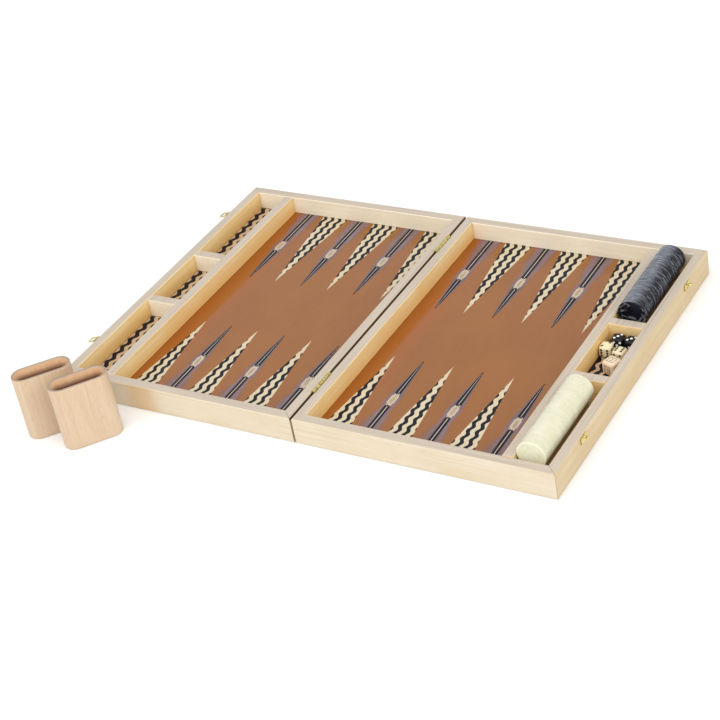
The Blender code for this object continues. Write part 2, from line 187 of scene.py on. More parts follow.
def arc(centre, radius, start, end, steps):
    angles = [math.radians(start + (end - start) * i / steps) for i in range(steps + 1)]
    return [(centre[0] + radius * math.cos(a), centre[1] + radius * math.sin(a)) for a in angles]


def carve(mesh, cutters):
    """The mesh with every cutter taken out of it."""
    body = in_scene("carved", mesh)
    helpers = [in_scene("cutter", cutter) for cutter in cutters]
    for helper in helpers:
        modifier = body.modifiers.new("cut", "BOOLEAN")
        modifier.object = helper
        modifier.solver = "EXACT"
    carved = mesh_of(body)
    for leftover in (body, *helpers):
        bpy.data.objects.remove(leftover, do_unlink=True)
    return carved


# ---------- material tools
class Look:
    """Short-hand for wiring one procedural material."""

    def __init__(self, name, roughness=0.4, metallic=0.0, coat=0.0, coat_roughness=0.1, specular=0.5):
        self.material = bpy.data.materials.new(name)
        self.material.use_nodes = True
        self.tree = self.material.node_tree
        self.shader = self.tree.nodes["Principled BSDF"]
        self.shader.inputs["Roughness"].default_value = roughness
        self.shader.inputs["Metallic"].default_value = metallic
        self.shader.inputs["Coat Weight"].default_value = coat
        self.shader.inputs["Coat Roughness"].default_value = coat_roughness
        self.shader.inputs["Specular IOR Level"].default_value = specular
        self.place = self.tree.nodes.new("ShaderNodeTexCoord")

    def connect(self, socket, value):
        if isinstance(value, bpy.types.NodeSocket):
            self.tree.links.new(value, socket)
        elif isinstance(value, tuple) and len(value) == 3 and socket.type == "RGBA":
            socket.default_value = (*value, 1.0)
        else:
            socket.default_value = value

    def stretched(self, scale, turn=(0, 0, 0)):
        """The place on the piece in metres, multiplied by scale per axis and then turned."""
        node = self.tree.nodes.new("ShaderNodeMapping")
        self.tree.links.new(self.place.outputs["Object"], node.inputs["Vector"])
        node.inputs["Rotation"].default_value = turn
        node.inputs["Scale"].default_value = scale
        return node.outputs["Vector"]

    def noise(self, scale, detail=3, roughness=0.55, distortion=0.0, turn=(0, 0, 0)):
        node = self.tree.nodes.new("ShaderNodeTexNoise")
        self.tree.links.new(self.stretched(scale, turn), node.inputs["Vector"])
        node.inputs["Scale"].default_value = 1.0
        node.inputs["Detail"].default_value = detail
        node.inputs["Roughness"].default_value = roughness
        node.inputs["Distortion"].default_value = distortion
        return node.outputs["Fac"]

    def ramp(self, factor, *stops):
        """Greys or colours at positions, as (position, value) pairs."""
        node = self.tree.nodes.new("ShaderNodeValToRGB")
        points = node.color_ramp.elements
        while len(points) < len(stops):
            points.new(1.0)
        for point, (position, value) in zip(points, stops):
            point.position = position
            point.color = (*value, 1.0) if isinstance(value, tuple) else (value, value, value, 1.0)
        self.tree.links.new(factor, node.inputs["Fac"])
        return node.outputs["Color"]

    def mix(self, factor, first, second):
        node = self.tree.nodes.new("ShaderNodeMix")
        node.data_type = "RGBA"
        self.connect(node.inputs[0], factor)
        self.connect(node.inputs[6], first)
        self.connect(node.inputs[7], second)
        return node.outputs[2]

    def shift(self, factor, low, high, first, second, most=1.0):
        """first, going over to second as the factor rises from low to high, at most by most."""
        return self.mix(self.ramp(factor, (low, 0.0), (high, most)), first, second)

    def math(self, operation, first, second=0.0):
        node = self.tree.nodes.new("ShaderNodeMath")
        node.operation = operation
        self.connect(node.inputs[0], first)
        self.connect(node.inputs[1], second)
        return node.outputs["Value"]

    def times(self, first, second):
        return self.math("MULTIPLY", first, second)

    def step(self, value, low, high):
        """0 at low, 1 at high and smooth between; high may be the smaller of the two."""
        node = self.tree.nodes.new("ShaderNodeMapRange")
        node.interpolation_type = "SMOOTHSTEP"
        self.connect(node.inputs["Value"], value)
        node.inputs["From Min"].default_value = low
        node.inputs["From Max"].default_value = high
        return node.outputs["Result"]

    def split(self, vector):
        node = self.tree.nodes.new("ShaderNodeSeparateXYZ")
        self.tree.links.new(vector, node.inputs["Vector"])
        return node.outputs["X"], node.outputs["Y"], node.outputs["Z"]

    def position(self):
        """The place in the set at rest, which stays on the piece as it moves."""
        return self.split(self.place.outputs["Object"])

    def facing(self):
        """The surface's own normal, which turns with the piece."""
        return self.split(self.place.outputs["Normal"])

    def finish(self, colour, roughness=None, height=None, strength=0.2, distance=0.0002):
        self.connect(self.shader.inputs["Base Color"], colour)
        if roughness is not None:
            self.connect(self.shader.inputs["Roughness"], roughness)
        if height is not None:
            bump = self.tree.nodes.new("ShaderNodeBump")
            bump.inputs["Strength"].default_value = strength
            bump.inputs["Distance"].default_value = distance
            self.connect(bump.inputs["Height"], height)
            self.tree.links.new(bump.outputs["Normal"], self.shader.inputs["Normal"])
        return self.material


# ---------- wood
# noise scales of the grain, the pores and the plywood's layers, by the plank's long axis
ALONG = {"X": (7, 260, 260), "Y": (260, 7, 260)}
PORES = {"X": (45, 1900, 1900), "Y": (1900, 45, 1900)}
PLIES = {"X": (6, 1500, 1), "Y": (1500, 6, 1)}


def birch(name, grain, pale, warm, foot=None, plain=None, plain_ways=(), cup_shade=None, gap_shade=False):
    """Lacquered birch: fine long grain on the faces and plywood layers on the upward edge.

    foot tints the lowest part of the faces, where the field's colour shines up onto them.
    plain is the pale and warm tint of the faces that look in plain_ways, as (axis, way) pairs, and down.
    The stretch of X given for the cups' shade is painted amber-brown: a painted shadow of the cups,
    warmed by their painted reflected light.
    With the gap flag set, a painted shadow darkens the outer face just below the rim, standing in for the
    shade of the narrow gap where the halves meet at the hinges.
    """
    look = Look(name, roughness=0.42)
    grain_lines = look.noise(ALONG[grain], detail=4, distortion=0.6)
    clouds = look.noise((22, 22, 30))
    pores = look.noise(PORES[grain], detail=2, roughness=0.7)
    face = look.shift(grain_lines, 0.32, 0.70, pale, warm)
    face = look.shift(clouds, 0.40, 0.68, face, warm, 0.75)
    # painted shadow of the cups on the wall, warmed by their painted reflected light
    if cup_shade:
        along = look.position()[0]
        left, right = cup_shade
        begun = look.step(along, left, left + 20 * MM)
        not_ended = look.step(along, right, right - 24 * MM)
        golden = look.times(begun, not_ended)
        face = look.mix(look.times(golden, 0.55), face, (0.60, 0.36, 0.125))
    height_above = look.position()[2]
    if foot:
        low_down = look.step(height_above, TRAY_TOP - 4 * MM, FIELD_TOP)
        face = look.mix(look.times(low_down, 0.7), face, foot)
    if plain:
        plain_face = look.shift(grain_lines, 0.32, 0.70, *plain)
        for axis, way in (*plain_ways, (2, -1)):
            looks_there = look.step(look.times(look.facing()[axis], way), 0.3, 0.7)
            face = look.mix(looks_there, face, plain_face)
    # painted shadow of the narrow gap between the halves
    if gap_shade:
        near_rim = look.step(height_above, TRAY_TOP - 3.2 * MM, TRAY_TOP - 2.4 * MM)
        gap_shadow = look.times(near_rim, look.step(look.facing()[0], 0.3, 0.7))
        face = look.mix(gap_shadow, face, (0.080, 0.035, 0.012))
    dark_pores = look.ramp(pores, (0.60, 0.0), (0.74, 0.35))
    face = look.mix(dark_pores, face, (warm[0] * 0.62, warm[1] * 0.52, warm[2] * 0.42))
    layers = look.noise(PLIES[grain], detail=1, roughness=0.4)
    edge = look.ramp(
        layers,
        (0.32, (0.400, 0.325, 0.260)),
        (0.46, (0.535, 0.455, 0.365)),
        (0.60, (0.575, 0.495, 0.400)),
        (0.72, (0.440, 0.360, 0.290)),
    )
    speckle = look.noise((900, 900, 900))
    edge = look.shift(speckle, 0.42, 0.75, edge, (0.37, 0.30, 0.235), 0.35)
    bed = look.ramp(grain_lines, (0.30, (0.36, 0.215, 0.080)), (0.70, (0.45, 0.285, 0.120)))
    edge = look.mix(look.step(height_above, TRAY_TOP - 3 * MM, TRAY_TOP - 6 * MM), edge, bed)
    upward = look.step(look.facing()[2], 0.80, 0.97)
    colour = look.mix(upward, face, edge)
    height = look.math("SUBTRACT", grain_lines, dark_pores)
    height = look.math("ADD", height, look.times(layers, upward))
    roughness = look.ramp(grain_lines, (0.3, 0.36), (0.7, 0.50))
    return look.finish(colour, roughness, height, strength=0.25, distance=0.00012)


def beech():
    """Lacquered beech with vertical flecks, browner on the cut rim."""
    look = Look("beech", roughness=0.42)
    grain = look.noise((420, 420, 9), detail=4, distortion=0.4)
    flecks = look.noise((1500, 1500, 130), detail=2)
    clouds = look.noise((14, 14, 8), detail=2)
    pale = (0.635, 0.485, 0.335)
    warm = (0.575, 0.410, 0.265)
    colour = look.shift(grain, 0.34, 0.68, pale, warm)
    colour = look.shift(clouds, 0.45, 0.70, colour, (0.66, 0.52, 0.36), 0.5)
    fleck_mask = look.ramp(flecks, (0.60, 0.0), (0.70, 0.5))
    colour = look.mix(fleck_mask, colour, (0.41, 0.25, 0.145))
    rim = look.step(look.facing()[2], 0.5, 0.95)
    speckle = look.noise((900, 900, 900))
    end_grain = look.ramp(speckle, (0.35, (0.27, 0.19, 0.14)), (0.65, (0.41, 0.30, 0.225)))
    colour = look.mix(rim, colour, end_grain)
    height = look.math("SUBTRACT", grain, fleck_mask)
    return look.finish(colour, look.ramp(grain, (0.3, 0.38), (0.7, 0.52)), height, 0.25, 0.0001)


def beech_inside():
    """The cup's inside: a warm tint that is partly painted bounce light, with painted shade deepening
    down the well.
    """
    look = Look("beech_inside", roughness=0.55)
    grain = look.noise((420, 420, 9), detail=4, distortion=0.4)
    # warm, saturated tint: partly the beech, partly painted bounce light inside the cup
    colour = look.ramp(grain, (0.30, (0.85, 0.51, 0.28)), (0.70, (0.91, 0.62, 0.38)))
    height_above = look.position()[2]
    # painted shade, deepening down the well
    deep = look.step(height_above, CUP_TOP - 4 * MM, CUP_TOP - 15 * MM)
    colour = look.mix(look.times(deep, 0.97), colour, (0.110, 0.026, 0.006))
    return look.finish(colour, None, grain, 0.3, 0.0001)


def plywood_underside(look):
    """Plain birch veneer, for the outside of the case's floors."""
    lines = look.noise(ALONG["Y"], detail=4, distortion=1.2)
    return look.ramp(lines, (0.30, (0.70, 0.58, 0.43)), (0.70, (0.60, 0.45, 0.29)))


# ---------- the playing field
def field_colour(look):
    """Orange-brown stained veneer with a faint long grain and slow clouds."""
    grain = look.noise((520, 26, 1), detail=4, distortion=0.3)
    clouds = look.noise((16, 10, 1))
    specks = look.noise((1600, 1600, 1), detail=1)
    colour = look.shift(grain, 0.30, 0.72, FIELD, (0.235, 0.072, 0.002))
    colour = look.shift(clouds, 0.40, 0.70, colour, (0.295, 0.100, 0.005), 0.6)
    colour = look.shift(specks, 0.62, 0.76, colour, (0.145, 0.037, 0.003), 0.35)
    # the honey-coloured wall on each half's left shines onto the varnish beside it
    across = look.position()[0]
    from_lid_wall = look.math("SUBTRACT", across, LID_FIELD_LEFT)
    from_wall = look.math("MODULO", from_lid_wall, BASE_FIELD_LEFT - LID_FIELD_LEFT)
    glow = look.step(from_wall, 46 * MM, 14 * MM)
    return look.mix(look.times(glow, 0.88), colour, (0.305, 0.079, 0.002)), grain


def field_panel():
    """A floor: varnished field above, plain veneer below."""
    look = Look("field_panel", roughness=0.16, specular=0.75)
    colour, grain = field_colour(look)
    downward = look.step(look.times(look.facing()[2], -1.0), 0.3, 0.6)
    colour = look.mix(downward, colour, plywood_underside(look))
    roughness = look.ramp(look.noise((40, 40, 1)), (0.35, 0.12), (0.70, 0.20))
    return look.finish(colour, roughness, grain, 0.08, 0.00006)


def printed(name, dark, light, specular=0.5):
    """Print on the veneer, with a faint weave of colour."""
    look = Look(name, roughness=0.20, specular=specular)
    grain = look.noise((900, 60, 1))
    blotch = look.noise((220, 220, 1), detail=2)
    colour = look.shift(grain, 0.35, 0.68, light, dark)
    colour = look.shift(blotch, 0.45, 0.70, colour, dark, 0.45)
    return look.finish(colour, None, grain, 0.10, 0.00006)


def haze():
    """Mauve strands over the field's own colour, densest along the middle of the point."""
    look = Look("ikat_haze", roughness=0.17, specular=0.65)
    base, grain = field_colour(look)
    node = look.tree.nodes.new("ShaderNodeAttribute")
    node.attribute_name = "across"
    across, along, _ = look.split(node.outputs["Vector"])
    strands = look.noise((1150, 22, 1), roughness=0.7)
    density = look.math("SUBTRACT", 1.0, look.math("ABSOLUTE", across))
    density = look.step(density, 0.0, 0.60)
    broken = look.ramp(strands, (0.36, 0.15), (0.60, 1.0))
    fade = look.step(along, 1.02, 0.80)
    amount = look.times(look.times(density, broken), fade)
    tint = look.ramp(strands, (0.35, (0.105, 0.078, 0.120)), (0.65, (0.265, 0.215, 0.300)))
    colour = look.mix(look.times(amount, 0.90), base, tint)
    return look.finish(colour, None, grain, 0.10, 0.00008)


def strip(form, stations, low, high):
    """A thin closed strip from (y, left x, right x) stations between two heights."""
    previous = None
    for y, left, right in stations:
        corners = ((left, low), (right, low), (right, high), (left, high))
        ring = [form.verts.new((x, y, z)) for x, z in corners]
        if previous:
            join_rings(form, previous, ring)
        else:
            form.faces.new(ring)
        previous = ring
    if previous:
        form.faces.new(previous)


def clean(form):
    """Joins the points that meet where a strip runs out to nothing."""
    bmesh.ops.remove_doubles(form, verts=form.verts, dist=WELD)
    bmesh.ops.dissolve_degenerate(form, edges=form.edges, dist=WELD)


class Stripes:
    """One set of parallel zigzag stripes: their width, wave and where the wave starts."""

    def __init__(self, width, wave, period, phase, lean=0.0):
        self.width = width
        self.wave = wave
        self.period = period
        self.phase = phase
        self.lean = lean  # how far a stripe drifts back to the middle over the whole length

    def sideways(self, distance):
        """How far the wave has swung; its small third part flattens the crests."""
        phase = 2 * math.pi * distance / self.period + self.phase
        return self.wave * (math.sin(phase) + 0.06 * math.sin(3 * phase))

    def runs(self, middle, length, outline):
        """The stations of one stripe, cut where the outline's half width ends it."""
        runs, run = [], []
        for i in range(int(length / STATION) + 1):
            distance = i * STATION
            centre = middle + self.sideways(distance) - self.lean * distance / length
            limit = outline(distance)
            left = max(centre - self.width / 2, -limit)
            right = min(centre + self.width / 2, limit)
            if right - left > THINNEST:
                run.append((distance, left, right))
            elif run:
                runs.append(run)
                run = []
        if run:
            runs.append(run)
        return [run for run in runs if len(run) > 1]


def place_run(run, x, base, direction):
    return [(base + direction * d, x + left, x + right) for d, left, right in run]


class Half:
    """Where one half's field and rack compartments are, taken from the frame."""

    def __init__(self, name):
        self.name = name
        self.body = f"{name}_half"
        hinge_low, hinge_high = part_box(f"{name}_hinge_wall")
        outer_low, outer_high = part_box(f"{name}_outer_wall")
        rail_low, rail_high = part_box(f"{name}_rack_partition")
        self.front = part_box(f"{name}_front_wall")[1][1]
        self.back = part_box(f"{name}_back_wall")[0][1]
        self.field_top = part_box(f"{name}_floor_panel")[1][2]
        if outer_low[0] > hinge_low[0]:
            self.field = (hinge_high[0], rail_low[0])
            self.rack = (outer_low[0] - RACK_CLEAR, outer_low[0])
        else:
            self.field = (rail_high[0], hinge_low[0])
            self.rack = (outer_high[0], outer_high[0] + RACK_CLEAR)


def lay(half, name, form, look):
    """Puts one printed layer on a half's floor."""
    full_name = f"{half.name}_{name}"
    new_object(full_name, to_mesh(full_name, form), half.body, "field", look)


def print_stripes(form, stripes, middles, length, outline, place, field_top):
    """Adds parallel stripes that end at the outline; place is (x, base y, direction)."""
    for middle in middles:
        for run in stripes.runs(middle, length, outline):
            strip(form, place_run(run, *place), field_top + STRIPE_FOOT, field_top + STRIPE_TOP)


def point_places(half):
    """Each point of a half as (x, base y, direction to its tip, is it a zigzag)."""
    centre = (half.field[0] + half.field[1]) / 2
    places = []
    for i in range(POINTS):
        x = centre + (i - (POINTS - 1) / 2) * POINT_PITCH
        places.append((x, half.front, 1, i % 2 == 0))
        places.append((x, half.back, -1, i % 2 == 1))
    return places


def make_zigzag_points(half, looks):
    cream, black = bmesh.new(), bmesh.new()
    foot = half.field_top + PRINT_FOOT
    top = half.field_top + CREAM_TOP

    def triangle(distance):
        return max(0.0, ZIGZAG_WIDTH / 2 * (1 - distance / POINT_LENGTH))

    for x, base, direction, is_zigzag in point_places(half):
        if not is_zigzag:
            continue
        outline = [(d, -triangle(d), triangle(d)) for d in (0.0, POINT_LENGTH / 2, POINT_LENGTH)]
        place = (x, base, direction)
        strip(cream, place_run(outline, *place), foot, top)
        shift, phase = ROW_STRIPES[direction]
        stripes = Stripes(STRIPE, WAVE_HEIGHT, WAVE_PERIOD, phase, lean=shift)
        middles = [shift + step * BAND for step in STRIPE_PLACES]
        print_stripes(black, stripes, middles, POINT_LENGTH, triangle, place, half.field_top)
    clean(cream)
    lay(half, "zigzag_points", cream, looks["cream_print"])
    lay(half, "zigzag_stripes", black, looks["ink_print"])


def haze_half_width(share):
    """Half width of the mauve haze along an ikat point, base to tip."""
    stops = ((0.0, 15.5), (0.24, 12.5), (0.38, 9.0), (0.51, 10.5), (0.60, 7.5), (0.76, 4.8), (1.0, 1.2))
    for (a, wide_a), (b, wide_b) in zip(stops, stops[1:]):
        if share <= b:
            mixed = wide_a + (wide_b - wide_a) * (share - a) / (b - a)
            return mixed * MM
    return stops[-1][1] * MM


def make_haze(half, looks):
    """The mauve strands that flank each ikat point."""
    form = bmesh.new()
    layer = form.verts.layers.float_vector.new("across")
    top = half.field_top + LAYER
    low = half.field_top + PRINT_FOOT
    columns = 12
    rows = 60
    for x, base, direction, is_zigzag in point_places(half):
        if is_zigzag:
            continue
        grid = []
        for row in range(rows + 1):
            share = row / rows
            wide = haze_half_width(share)
            y = base + direction * share * POINT_LENGTH
            line = []
            for column in range(columns + 1):
                across = 2 * column / columns - 1
                vertex = form.verts.new((x + across * wide, y, top))
                vertex[layer] = (across, share, 0)
                line.append(vertex)
            grid.append(line)
        for lower, upper in zip(grid, grid[1:]):
            for i in range(columns):
                form.faces.new((lower[i], lower[i + 1], upper[i + 1], upper[i]))
        border = [*grid[0], *[line[-1] for line in grid[1:-1]], *reversed(grid[-1])]
        border += [line[0] for line in reversed(grid[1:-1])]
        under = []
        for vertex in border:
            copy = form.verts.new((vertex.co.x, vertex.co.y, low))
            copy[layer] = vertex[layer]
            under.append(copy)
        join_rings(form, border, under)
        form.faces.new(under)
    lay(half, "ikat_haze", form, looks["haze"])


def tapered(left, right, start, end, taper_from):
    """Stations of a strand whose offsets shrink towards the tip beyond taper_from."""
    stations = []
    steps = 24
    for i in range(steps + 1):
        share = start + (end - start) * i / steps
        narrow = 1.0 if share < taper_from else max(0.05, (1 - share) / (1 - taper_from)) ** 0.6
        stations.append((share * POINT_LENGTH, left * narrow * MM, right * narrow * MM))
    return stations


def make_ikat_points(half, looks):
    """Dark lines with a pale core, broken by a pale lozenge of strands of uneven length."""
    # a strand is its kind, left and right edge in mm, start and end along the point, and where it narrows
    tops = {"ink": 2.2, "pale": 2.8, "slate": 1.6, "core": 3.4}  # of each kind of strand, in layers
    forms = {kind: bmesh.new() for kind in tops}
    first, last = LOZENGE_AT - 0.07, LOZENGE_AT + 0.065
    strands = [("slate", -2.3, 2.3, last, 0.985, last)]
    for side in (-1, 1):
        lines = (
            ("ink", 0.60, 3.40, 0.0, first, NOWHERE),
            ("slate", 3.9, 4.7, 0.0, first, NOWHERE),
            ("ink", 0.60, 3.80, last, 0.995, last),
            ("slate", 4.3, 5.4, last - 0.03, 0.95, last),
            ("slate", 5.9, 6.5, first, 0.78, last),
            ("slate", 7.2, 7.7, first - 0.03, last + 0.05, NOWHERE),
        )
        strands += [(kind, *sorted((side * a, side * b)), *rest) for kind, a, b, *rest in lines]
        for offset, reach in ((6.0, 0.36), (7.9, 0.31), (9.9, 0.33), (12.2, 0.24)):
            near, far = sorted((side * offset, side * (offset + 0.55)))
            strands.append(("slate", near, far, 0.0, reach, NOWHERE))
    strands.append(("pale", -0.40, 0.40, 0.0, first, NOWHERE))
    strands.append(("pale", -0.33, 0.33, last, 0.97, last))
    reaches = (7.0, 11.0, 9.2, 12.5, 9.6, 11.5, 6.5)
    for index, reach in enumerate(reaches):
        offset = (index - (len(reaches) - 1) / 2) * 1.2
        outer = reach * MM / POINT_LENGTH
        pale_span = (LOZENGE_AT - outer, LOZENGE_AT + outer)
        strands.append(("pale", offset - 0.47, offset + 0.47, *pale_span, NOWHERE))
        if 2 <= index <= 4:
            inner = 0.6 * outer
            core_span = (LOZENGE_AT - inner, LOZENGE_AT + inner)
            strands.append(("core", offset - 0.30, offset + 0.30, *core_span, NOWHERE))
    for x, base, direction, is_zigzag in point_places(half):
        if is_zigzag:
            continue
        for kind, left, right, start, end, taper in strands:
            stations = place_run(tapered(left, right, start, end, taper), x, base, direction)
            top = half.field_top + tops[kind] * LAYER
            strip(forms[kind], stations, top - LAYER / 2, top)
    for kind, form in forms.items():
        lay(half, f"ikat_{kind}", form, looks[f"{kind}_print"])


def make_rack_floors(half, looks):
    """Zigzag stripes along the floor of each of the three compartments."""
    cream, black = bmesh.new(), bmesh.new()
    width = half.rack[1] - half.rack[0] - 0.8 * MM
    centre = (half.rack[0] + half.rack[1]) / 2
    gap = 0.3 * MM
    foot = half.field_top + PRINT_FOOT
    top = half.field_top + CREAM_TOP
    stripes = Stripes(RACK_STRIPE, RACK_WAVE, RACK_PERIOD, 0.0)
    middles = [RACK_SHIFT[half.name] + step * RACK_BAND[half.name] for step in STRIPE_PLACES]
    middle_rack = half.back - half.front - 2 * (LONG_RACK + DIVIDER)
    spans = (
        (half.front + gap, LONG_RACK - 2 * gap),
        (half.front + LONG_RACK + DIVIDER + gap, middle_rack - 2 * gap),
        (half.back - LONG_RACK + gap, LONG_RACK - 2 * gap),
    )
    for start, length in spans:
        plate = [(0.0, -width / 2, width / 2), (length, -width / 2, width / 2)]
        place = (centre, start, 1)
        strip(cream, place_run(plate, *place), foot, top)
        print_stripes(black, stripes, middles, length, lambda distance: width / 2, place, half.field_top)
    # the cream plate takes a print colour darkened and warmed as painted shade from the racks' walls
    lay(half, "rack_floor", cream, looks["rack_print_shaded"])
    lay(half, "rack_stripes", black, looks["ink_print"])


# ---------- brass, checkers, dice, cups
def brass():
    look = Look("brass", roughness=0.20, metallic=1.0)
    tarnish = look.noise((420, 420, 420), detail=4)
    brushed = look.noise((90, 2600, 2600), detail=2)
    colour = look.ramp(
        tarnish,
        (0.32, (0.22, 0.16, 0.04)),
        (0.48, (0.66, 0.54, 0.17)),
        (0.70, (0.88, 0.80, 0.36)),
    )
    roughness = look.ramp(tarnish, (0.30, 0.42), (0.60, 0.17))
    return look.finish(colour, roughness, brushed, 0.12, 0.00004)


def pearl(name, shades, bright, squeeze, contrast, specular, coat, end=None):
    """Streaked pearl plastic under a clear polish.

    shades are the deep, middle and veiled tints and the tint of a painted sheen; squeeze packs the
    streaks along the row.
    The top is painted paler on the side towards the open field as a sheen, and end is the tint of a
    painted highlight on the row's front end.
    """
    look = Look(name, roughness=0.27, coat=coat, coat_roughness=0.12, specular=specular)
    deep, middle, veil, sheen_tint = shades
    swirl = look.noise((34, 60 * squeeze, 34), distortion=0.8)
    slant = (0.03, 0.02, 0.7)
    veins = look.noise((48, 95 * squeeze, 48), roughness=0.6, distortion=1.2, turn=slant)
    fine = look.noise((60, 230 * squeeze, 60), detail=2)
    colour = look.ramp(swirl, (0.36, deep), (0.52, middle), (0.70, veil))
    sideways, backward, upward = look.facing()
    # painted sheen: the top is lighter on the side towards the open field
    sheen_side = look.times(look.step(sideways, 0.70, -0.05), look.step(upward, 0.3, 0.6))
    sheen_side = look.times(sheen_side, look.ramp(fine, (0.34, 0.12), (0.66, 1.0)))
    colour = look.mix(sheen_side, colour, sheen_tint)
    # painted highlight on the row's front end, which the wall in front keeps in shade
    if end:
        forward = look.times(backward, -1.0)
        colour = look.mix(look.step(forward, 0.6, 0.95), colour, end)
    streaks = look.ramp(veins, (0.53, 0.0), (0.60, contrast), (0.66, 0.0))
    colour = look.mix(streaks, colour, bright)
    roughness = look.ramp(swirl, (0.35, 0.20), (0.70, 0.34))
    return look.finish(colour, roughness, swirl, 0.05, 0.0001)


def checker_profile(radius, thickness):
    """(radius, distance along the axis), with a dished face and two grooves round the edge."""
    half = thickness / 2
    soft = 0.38 * MM
    rim = radius - 3.2 * MM
    face = [
        (0.6 * MM, half - 0.45 * MM),
        (rim - 0.9 * MM, half - 0.45 * MM),
        (rim - 0.3 * MM, half - 0.30 * MM),
        (rim, half - 0.05 * MM),
        (rim + 0.4 * MM, half),
    ]
    edge = arc((radius - soft, half - soft), soft, 90, 0, 5)
    groove = 1.35 * MM
    grooves = [
        (radius, groove + 0.28 * MM),
        (radius - 0.22 * MM, groove),
        (radius, groove - 0.28 * MM),
    ]
    upper = face + edge + grooves
    lower = [(r, -h) for r, h in reversed(upper)]
    return upper + lower


def make_checkers(looks):
    spread = random.Random(7)
    for colour in ("dark", "light"):
        numbers = [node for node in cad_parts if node.startswith(f"checker_{colour}_")]
        for node in sorted(numbers):
            low, high = corners_of(node)
            centre = (low + high) / 2
            radius = (high.z - low.z) / 2
            mesh = turned(f"pearl_{node}", checker_profile(radius, high.y - low.y + FILL), 72)
            turn = Matrix.Rotation(math.radians(90), 4, "X")
            spin = Matrix.Rotation(spread.uniform(0, 2 * math.pi), 4, "Y")
            slip = Vector((spread.uniform(-0.2, 0.2), spread.uniform(-0.06, 0.06), 0)) * MM
            mesh.transform(Matrix.Translation(centre + slip) @ spin @ turn)
            shade_round(mesh, 28)
            body = f"{colour}_checker_{node[-2:]}"
            piece = new_object(f"pearl_{node}", mesh, body, f"{colour}_pearl", looks[colour])
            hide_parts(node)


def plastic(name, colour, mottled, roughness, gloss=1.0):
    look = Look(name, roughness=roughness, coat=0.3 * gloss, coat_roughness=0.08, specular=0.5 * gloss)
    mottle = look.noise((300, 300, 300))
    scuffs = look.noise((1400, 1400, 1400), detail=2)
    shade = look.shift(mottle, 0.38, 0.68, colour, mottled)
    rough = look.ramp(scuffs, (0.45, roughness), (0.75, roughness + 0.15))
    return look.finish(shade, rough, scuffs, 0.05, 0.00005)


PIPS = {
    1: ((0, 0),),
    2: ((-1, -1), (1, 1)),
    3: ((-1, -1), (0, 0), (1, 1)),
    4: ((-1, -1), (-1, 1), (1, -1), (1, 1)),
    5: ((-1, -1), (-1, 1), (0, 0), (1, -1), (1, 1)),
    6: ((-1, -1), (-1, 0), (-1, 1), (1, -1), (1, 0), (1, 1)),
}


def rounded_cube(size, rounding, segments):
    form = bmesh.new()
    bmesh.ops.create_cube(form, size=size)
    bmesh.ops.bevel(
        form,
        geom=list(form.edges),
        offset=size * rounding,
        segments=segments,
        affect="EDGES",
        profile=0.5,
    )
    return to_mesh("rounded_cube", form)


def face_frames():
    """For each side of a cube: its outward way and two ways across it."""
    ways = [Vector((1, 0, 0)), Vector((0, 1, 0)), Vector((0, 0, 1))]
    frames = []
    for index, outward in enumerate(ways):
        across, up = ways[(index + 1) % 3], ways[(index + 2) % 3]
        frames.append((outward, across, up))
        frames.append((-outward, up, across))
    return frames


def make_die(node, values, turn, looks):
    """A die with dished, painted pips; values are for the sides +X, -X, +Y, -Y, +Z, -Z."""
    low, high = corners_of(node)
    size = high.z - low.z
    centre = (low + high) / 2
    pip_radius = 0.116 * size
    depth = 0.042 * size
    spread = 0.245 * size
    ball = (pip_radius**2 + depth**2) / (2 * depth)
    centres = []
    for value, (outward, across, up) in zip(values, face_frames()):
        for a, b in PIPS[value]:
            surface = outward * size / 2 + across * a * spread + up * b * spread
            centres.append(surface + outward * (ball - depth))
    cutters = []
    for middle in centres:
        form = bmesh.new()
        bmesh.ops.create_icosphere(form, subdivisions=3, radius=ball, matrix=Matrix.Translation(middle))
        cutters.append(to_mesh("pip_cutter", form))
    mesh = carve(rounded_cube(size, 0.25, 6), cutters)
    for face in mesh.polygons:
        corners = [mesh.vertices[index].co for index in face.vertices]
        if any(max((corner - middle).length for corner in corners) < ball * 1.02 for middle in centres):
            face.material_index = 1
    mesh.transform(Matrix.Translation(centre) @ Matrix.Rotation(math.radians(turn), 4, "Z"))
    shade_round(mesh, 30)
    colour = "black" if "black" in node else "cream"
    pip = "white_paint" if colour == "black" else "black_paint"
    materials = (looks[colour], looks[pip])
    piece = new_object(f"pipped_{node}", mesh, f"loose_{node}", f"{colour}_plastic", *materials)
    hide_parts(node)


def numeral_mesh(text, height, depth):
    curve = bpy.data.curves.new("numeral", "FONT")
    curve.body = text
    curve.align_x = "CENTER"
    curve.align_y = "CENTER"
    curve.size = height
    curve.extrude = depth
    curve.resolution_u = 4
    holder = in_scene("numeral", curve)
    mesh = mesh_of(holder)
    bpy.data.objects.remove(holder, do_unlink=True)
    return mesh


def square_frame_mesh(side, line, depth):
    """A thin square outline."""
    form = bmesh.new()
    loops = []
    outer = side / 2
    inner = side / 2 - line
    for half, height in ((outer, -depth), (outer, depth), (inner, depth), (inner, -depth)):
        corners = ((-half, -half), (half, -half), (half, half), (-half, half))
        loops.append([form.verts.new((x, y, height)) for x, y in corners])
    for first, second in zip(loops, [*loops[1:], loops[0]]):
        join_rings(form, first, second)
    return to_mesh("square_outline", form)


